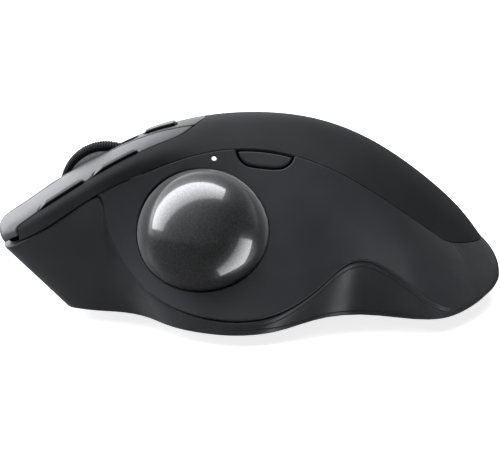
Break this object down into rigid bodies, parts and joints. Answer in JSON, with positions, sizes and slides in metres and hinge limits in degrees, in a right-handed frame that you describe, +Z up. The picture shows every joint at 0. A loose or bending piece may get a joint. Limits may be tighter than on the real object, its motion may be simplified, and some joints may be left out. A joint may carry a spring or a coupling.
{
  "type": "trackball mouse",
  "caption": "Right-handed wireless thumb trackball mouse with sculpted shell, side ball in a ringed socket, hinged keys, tilting scroll wheel and a tilting steel base.",
  "frame": {"origin": "middle of the object's box, on the surface that it stands on", "axes": "+Z up, +Y from the heel to the keys, +X to the user's right"},
  "size_m": [0.1006, 0.1328, 0.051],
  "materials": {
    "steel_plate": "matt dark powder coat",
    "pad_rubber": "matt black rubber",
    "steel": "bright steel",
    "case_plastic": "satin graphite",
    "panel_plastic": "satin graphite, fine grain",
    "palm_rubber": "soft-touch rubber",
    "spine_plastic": "satin black",
    "key_plastic": "satin dark grey",
    "gloss_black": "glossy black",
    "inner_plastic": "matt black",
    "led_white": "lit white light pipe",
    "ball_pearl": "grey with fine sparkle, polished",
    "ceramic": "polished ceramic",
    "clear_lens": "clear",
    "circuit_board": "green solder mask",
    "wheel_rubber": "ribbed rubber",
    "rim_metal": "satin bright metal",
    "battery_wrap": "foil wrap",
    "slider_plastic": "black",
    "magnet_nickel": "nickel plate"
  },
  "bodies": {
    "base": {"base_plate": "steel_plate", "hinge_lugs": "steel_plate", "base_pad": "pad_rubber", "hinge_pin": "steel"},
    "case": {"hinge_knuckles": "steel", "bottom_plate": "case_plastic", "lower_case": "case_plastic", "thumb_panel": "panel_plastic", "side_panel": "case_plastic", "palm_cover": "palm_rubber", "top_spine": "spine_plastic", "key_pins": "steel", "key_bridge": "inner_plastic", "status_led": "led_white", "ball_socket": "inner_plastic", "socket_bearings": "ceramic", "sensor_lens": "clear_lens", "sensor_board": "circuit_board", "wheel_spring": "steel", "chassis": "inner_plastic", "main_board": "circuit_board", "switch_boards": "circuit_board", "key_switches": "inner_plastic", "side_board": "circuit_board", "battery": "battery_wrap", "usb_port": "steel", "case_magnets": "magnet_nickel", "case_screws": "steel"},
    "left_key": {"left_button": "key_plastic", "left_key_arm": "inner_plastic"},
    "right_key": {"right_button": "key_plastic", "right_key_arm": "inner_plastic"},
    "back_key": {"back_button": "gloss_black"},
    "forward_key": {"forward_button": "gloss_black"},
    "mode_key": {"mode_button": "gloss_black"},
    "precision_key": {"precision_button": "panel_plastic"},
    "ball": {"trackball": "ball_pearl"},
    "wheel_press": {"wheel_carriage": "inner_plastic"},
    "wheel_tilt": {"wheel_yoke": "inner_plastic", "wheel_encoder": "inner_plastic"},
    "wheel": {"wheel_tyre": "wheel_rubber", "wheel_rim": "rim_metal", "wheel_axle": "steel"},
    "power": {"power_slider": "slider_plastic"}
  },
  "joints": [
    {"name": "body_tilt", "type": "hinge", "parent": "base", "child": "case", "pos_m": [0.0393, 0, 0.0046], "axis": [0, 1, 0], "range_deg": [0, 20]},
    {"name": "left_click", "type": "hinge", "parent": "case", "child": "left_key", "pos_m": [-0.014, 0.02, 0.042], "axis": [-1, 0, 0], "range_deg": [0, 0.6], "stiffness_Nm_per_rad": 1.2, "springref_deg": -1.15},
    {"name": "right_click", "type": "hinge", "parent": "case", "child": "right_key", "pos_m": [0.0067, 0.02, 0.042], "axis": [-1, 0, 0], "range_deg": [0, 0.6], "stiffness_Nm_per_rad": 1.2, "springref_deg": -1.15},
    {"name": "back_press", "type": "slide", "parent": "case", "child": "back_key", "axis": [0.8, 0, -0.6], "range_m": [0, 0.0005], "stiffness_N_per_m": 900, "springref_m": -0.0008},
    {"name": "forward_press", "type": "slide", "parent": "case", "child": "forward_key", "axis": [0.8, 0, -0.6], "range_m": [0, 0.0005], "stiffness_N_per_m": 900, "springref_m": -0.0008},
    {"name": "mode_press", "type": "slide", "parent": "case", "child": "mode_key", "axis": [0, -0.3, -0.9539], "range_m": [0, 0.0005], "stiffness_N_per_m": 900, "springref_m": -0.0008},
    {"name": "precision_press", "type": "slide", "parent": "case", "child": "precision_key", "axis": [0.829, 0, -0.5593], "range_m": [0, 0.0005], "stiffness_N_per_m": 900, "springref_m": -0.0008},
    {"name": "ball_roll", "type": "hinge", "parent": "case", "child": "ball", "pos_m": [-0.0315, 0.0121, 0.0249], "axis": [0, 1, 0], "continuous": true},
    {"name": "wheel_click", "type": "slide", "parent": "case", "child": "wheel_press", "axis": [0, 0, -1], "range_m": [0, 0.0007], "stiffness_N_per_m": 1500, "springref_m": -0.001},
    {"name": "wheel_tilt", "type": "hinge", "parent": "wheel_press", "child": "wheel_tilt", "pos_m": [-0.0035, 0.0381, 0.027], "axis": [0, 1, 0], "range_deg": [-3, 3], "stiffness_Nm_per_rad": 0.6},
    {"name": "wheel_spin", "type": "hinge", "parent": "wheel_tilt", "child": "wheel", "pos_m": [-0.0035, 0.0381, 0.0318], "axis": [-1, 0, 0], "continuous": true},
    {"name": "power_slide", "type": "slide", "parent": "case", "child": "power", "axis": [0, 1, 0], "range_m": [0, 0.004]}
  ]
}
